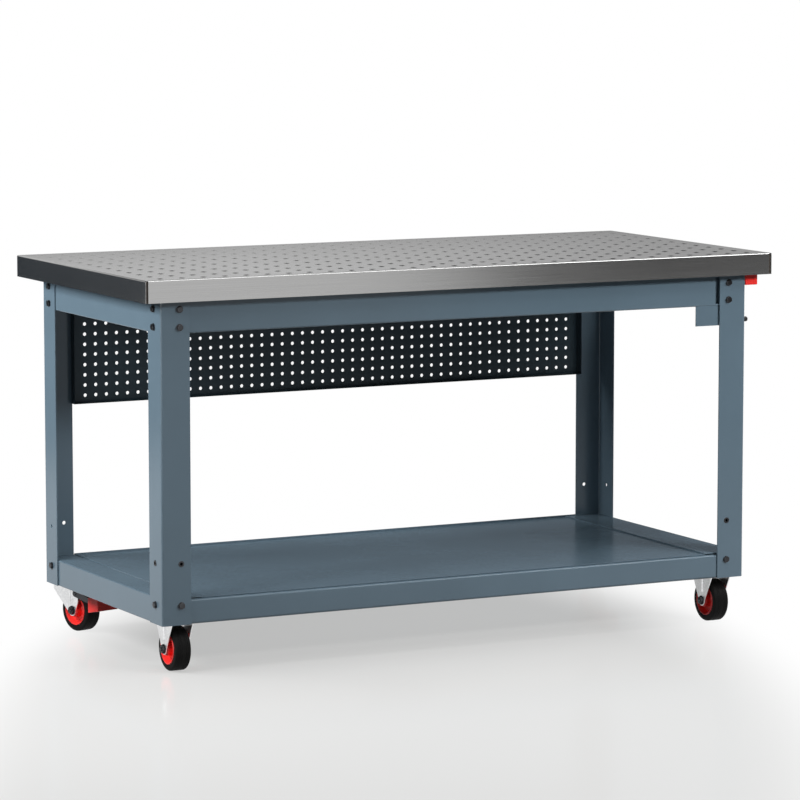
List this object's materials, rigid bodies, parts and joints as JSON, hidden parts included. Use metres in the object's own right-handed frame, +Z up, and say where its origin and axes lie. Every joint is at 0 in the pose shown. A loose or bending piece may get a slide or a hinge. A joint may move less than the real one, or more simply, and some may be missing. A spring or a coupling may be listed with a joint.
{
  "type": "assembly table",
  "caption": "Mobile assembly table with a steel-clad worktop on a bolted angle frame, a lower shelf, a perforated back panel, a grab handle and castors with brakes.",
  "frame": {"origin": "on the floor under the middle of the worktop", "axes": "+X along the length to the right seen from the front, +Y to the back, +Z up"},
  "size_m": [1.6, 0.75, 0.88],
  "materials": {
    "stainless_skin": "brushed stainless sheet with small raised dimples",
    "core_board": "board with a dark film face",
    "frame_paint": "semi-gloss blue-grey powder coat",
    "panel_paint": "dark blue-grey powder coat",
    "dark_zinc": "dull zinc plate",
    "bright_zinc": "bright zinc plate",
    "red_plastic": "semi-gloss red moulding",
    "black_plastic": "black moulding",
    "tyre_rubber": "black solid rubber",
    "bush_plastic": "natural plastic bush"
  },
  "bodies": {
    "frame": {"worktop_skin": "stainless_skin", "worktop_board": "core_board", "shelf_panel": "frame_paint", "shelf_stiffener": "frame_paint", "back_panel": "panel_paint", "grab_handle": "red_plastic", "accessory_bracket": "frame_paint", "leg_front_left": "frame_paint", "upper_bolts_front_left": "dark_zinc", "lower_bolts_front_left": "dark_zinc", "castor_plate_front_left": "dark_zinc", "castor_fork_front_left": "bright_zinc", "axle_bolt_front_left": "dark_zinc", "leg_front_right": "frame_paint", "upper_bolts_front_right": "dark_zinc", "lower_bolts_front_right": "dark_zinc", "castor_plate_front_right": "dark_zinc", "castor_fork_front_right": "bright_zinc", "axle_bolt_front_right": "dark_zinc", "leg_rear_left": "frame_paint", "upper_bolts_rear_left": "dark_zinc", "lower_bolts_rear_left": "dark_zinc", "castor_plate_rear_left": "dark_zinc", "leg_rear_right": "frame_paint", "upper_bolts_rear_right": "dark_zinc", "lower_bolts_rear_right": "dark_zinc", "castor_plate_rear_right": "dark_zinc", "apron_front": "frame_paint", "lower_rail_front": "frame_paint", "apron_rear": "frame_paint", "lower_rail_rear": "frame_paint", "apron_left": "frame_paint", "lower_rail_left": "frame_paint", "apron_right": "frame_paint", "lower_rail_right": "frame_paint", "castor_kingpin_rear_left": "dark_zinc", "castor_kingpin_rear_right": "dark_zinc"},
    "clamp_knob": {"clamp_knob": "black_plastic"},
    "wheel_front_left": {"wheel_rim_front_left": "red_plastic", "tyre_front_left": "tyre_rubber", "wheel_bush_front_left": "bush_plastic"},
    "wheel_front_right": {"wheel_rim_front_right": "red_plastic", "tyre_front_right": "tyre_rubber", "wheel_bush_front_right": "bush_plastic"},
    "wheel_rear_left": {"wheel_rim_rear_left": "red_plastic", "tyre_rear_left": "tyre_rubber", "wheel_bush_rear_left": "bush_plastic"},
    "wheel_rear_right": {"wheel_rim_rear_right": "red_plastic", "tyre_rear_right": "tyre_rubber", "wheel_bush_rear_right": "bush_plastic"},
    "swivel_rear_left": {"castor_fork_rear_left": "bright_zinc", "axle_bolt_rear_left": "dark_zinc"},
    "brake_rear_left": {"brake_pedal_rear_left": "red_plastic"},
    "swivel_rear_right": {"castor_fork_rear_right": "bright_zinc", "axle_bolt_rear_right": "dark_zinc"},
    "brake_rear_right": {"brake_pedal_rear_right": "red_plastic"}
  },
  "joints": [
    {"name": "wheel_spin_front_left", "type": "hinge", "parent": "frame", "child": "wheel_front_left", "pos_m": [-0.697, -0.286, 0.05], "axis": [1, 0, 0], "continuous": true},
    {"name": "wheel_spin_front_right", "type": "hinge", "parent": "frame", "child": "wheel_front_right", "pos_m": [0.697, -0.286, 0.05], "axis": [1, 0, 0], "continuous": true},
    {"name": "castor_swivel_rear_left", "type": "hinge", "parent": "frame", "child": "swivel_rear_left", "pos_m": [-0.697, 0.302, 0.115], "axis": [0, 0, 1], "continuous": true},
    {"name": "wheel_spin_rear_left", "type": "hinge", "parent": "swivel_rear_left", "child": "wheel_rear_left", "pos_m": [-0.68924, 0.27302, 0.05], "axis": [0.9659, 0.2588, 0], "continuous": true},
    {"name": "brake_press_rear_left", "type": "hinge", "parent": "swivel_rear_left", "child": "brake_rear_left", "pos_m": [-0.68561, 0.2595, 0.092], "axis": [0.9659, 0.2588, 0], "range_deg": [0, 12]},
    {"name": "castor_swivel_rear_right", "type": "hinge", "parent": "frame", "child": "swivel_rear_right", "pos_m": [0.697, 0.302, 0.115], "axis": [0, 0, 1], "continuous": true},
    {"name": "wheel_spin_rear_right", "type": "hinge", "parent": "swivel_rear_right", "child": "wheel_rear_right", "pos_m": [0.69283, 0.27229, 0.05], "axis": [0.9903, -0.1392, 0], "continuous": true},
    {"name": "brake_press_rear_right", "type": "hinge", "parent": "swivel_rear_right", "child": "brake_rear_right", "pos_m": [0.69088, 0.25843, 0.092], "axis": [0.9903, -0.1392, 0], "range_deg": [0, 12]},
    {"name": "clamp_knob_turn", "type": "hinge", "parent": "frame", "child": "clamp_knob", "pos_m": [0.7618, -0.302, 0.7187], "axis": [1, 0, 0], "range_deg": [-360, 0]}
  ]
}
